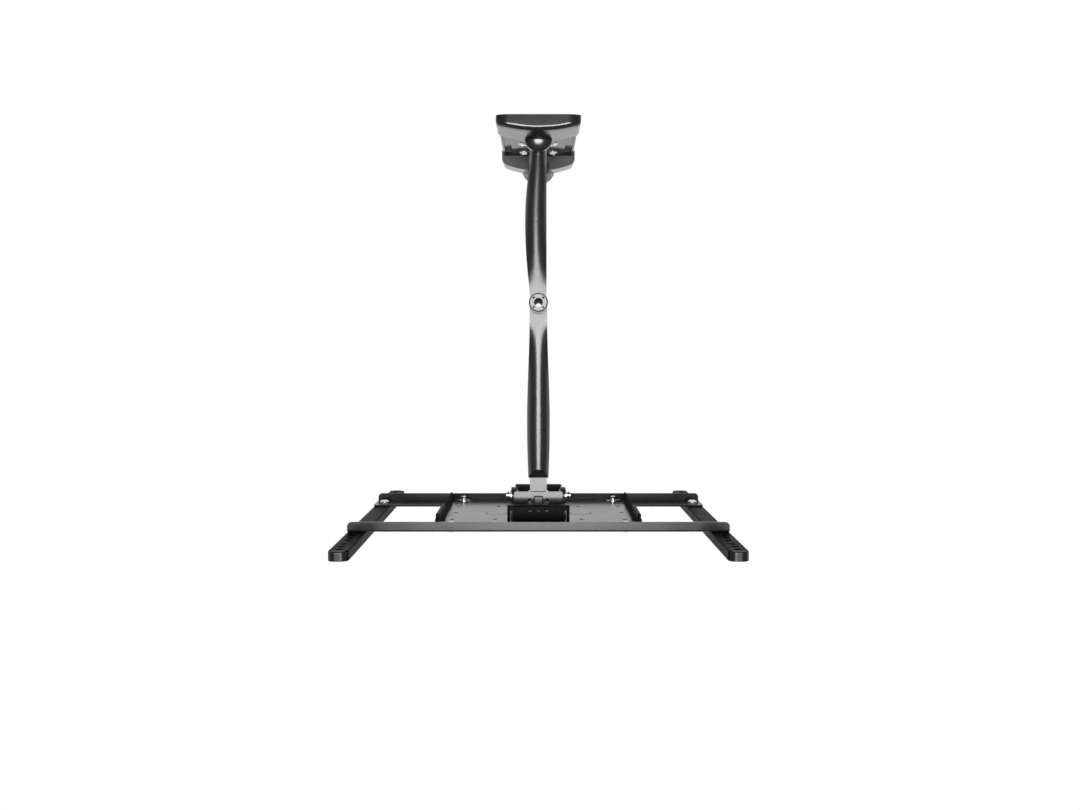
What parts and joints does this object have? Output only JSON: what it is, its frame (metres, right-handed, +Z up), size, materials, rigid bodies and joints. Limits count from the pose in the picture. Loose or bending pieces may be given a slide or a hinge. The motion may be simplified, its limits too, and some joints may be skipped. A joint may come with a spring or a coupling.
{
  "type": "full-motion display wall mount",
  "caption": "Display arm mount: a wall plate with covers, two jointed arms, a swivel and tilt head, and a screen frame of plate, rails and upright bars.",
  "frame": {"origin": "middle of the wall plate's back face, at the mid height of the arms and of the screen plate", "axes": "+Y into the wall, -Y towards the screen, +Z up, +X to the right seen from the screen side"},
  "size_m": [0.4208, 0.463, 0.45],
  "materials": {
    "black_steel": "satin black powder coat on folded steel",
    "black_casting": "satin black paint on a casting",
    "black_plastic": "fine-grained black moulding",
    "nylon": "dark nylon",
    "satin_ring": "satin black turned steel",
    "zinc_plate": "bright zinc",
    "black_bolt": "black finish on steel"
  },
  "bodies": {
    "wall": {"wall_plate": "black_steel", "shoulder_bracket": "black_steel", "bracket_screws": "zinc_plate", "top_cover": "black_plastic", "bottom_cover": "black_plastic", "shoulder_bolt": "zinc_plate", "shoulder_washer": "zinc_plate", "shoulder_nut": "zinc_plate"},
    "inner_arm": {"inner_arm": "black_casting", "shoulder_bushes": "nylon", "elbow_sleeve": "satin_ring", "elbow_washers": "satin_ring", "elbow_ring_nut": "satin_ring"},
    "outer_arm": {"outer_arm": "black_casting", "elbow_bushes": "nylon", "swivel_bushes": "nylon"},
    "swivel_head": {"swivel_bracket": "black_steel", "swivel_bolt": "black_bolt", "swivel_washer": "zinc_plate", "swivel_nut": "zinc_plate", "tilt_bolts": "zinc_plate", "tilt_washers": "zinc_plate", "tilt_nuts": "zinc_plate"},
    "screen_frame": {"tilt_bracket": "black_steel", "tilt_discs": "nylon", "head_cover": "black_plastic", "bracket_rivets": "zinc_plate", "vesa_plate": "black_steel", "right_clip": "black_plastic", "left_clip": "black_plastic", "upper_rail": "black_steel", "lower_rail": "black_steel", "right_bar": "black_steel", "left_bar": "black_steel", "plate_bolts": "zinc_plate", "plate_washers": "zinc_plate", "plate_nuts": "zinc_plate", "bar_bolts": "zinc_plate", "bar_washers": "zinc_plate", "bar_nuts": "zinc_plate"}
  },
  "joints": [
    {"name": "shoulder", "type": "hinge", "parent": "wall", "child": "inner_arm", "pos_m": [0, -0.02, 0], "axis": [0, 0, 1], "range_deg": [-90, 90]},
    {"name": "elbow", "type": "hinge", "parent": "inner_arm", "child": "outer_arm", "pos_m": [0, -0.199, 0], "axis": [0, 0, 1], "range_deg": [-100, 100]},
    {"name": "swivel", "type": "hinge", "parent": "outer_arm", "child": "swivel_head", "pos_m": [0, -0.433, 0], "axis": [0, 0, 1], "range_deg": [-70, 70]},
    {"name": "tilt", "type": "hinge", "parent": "swivel_head", "child": "screen_frame", "pos_m": [0, -0.428, 0], "axis": [1, 0, 0], "range_deg": [-5, 12]}
  ]
}
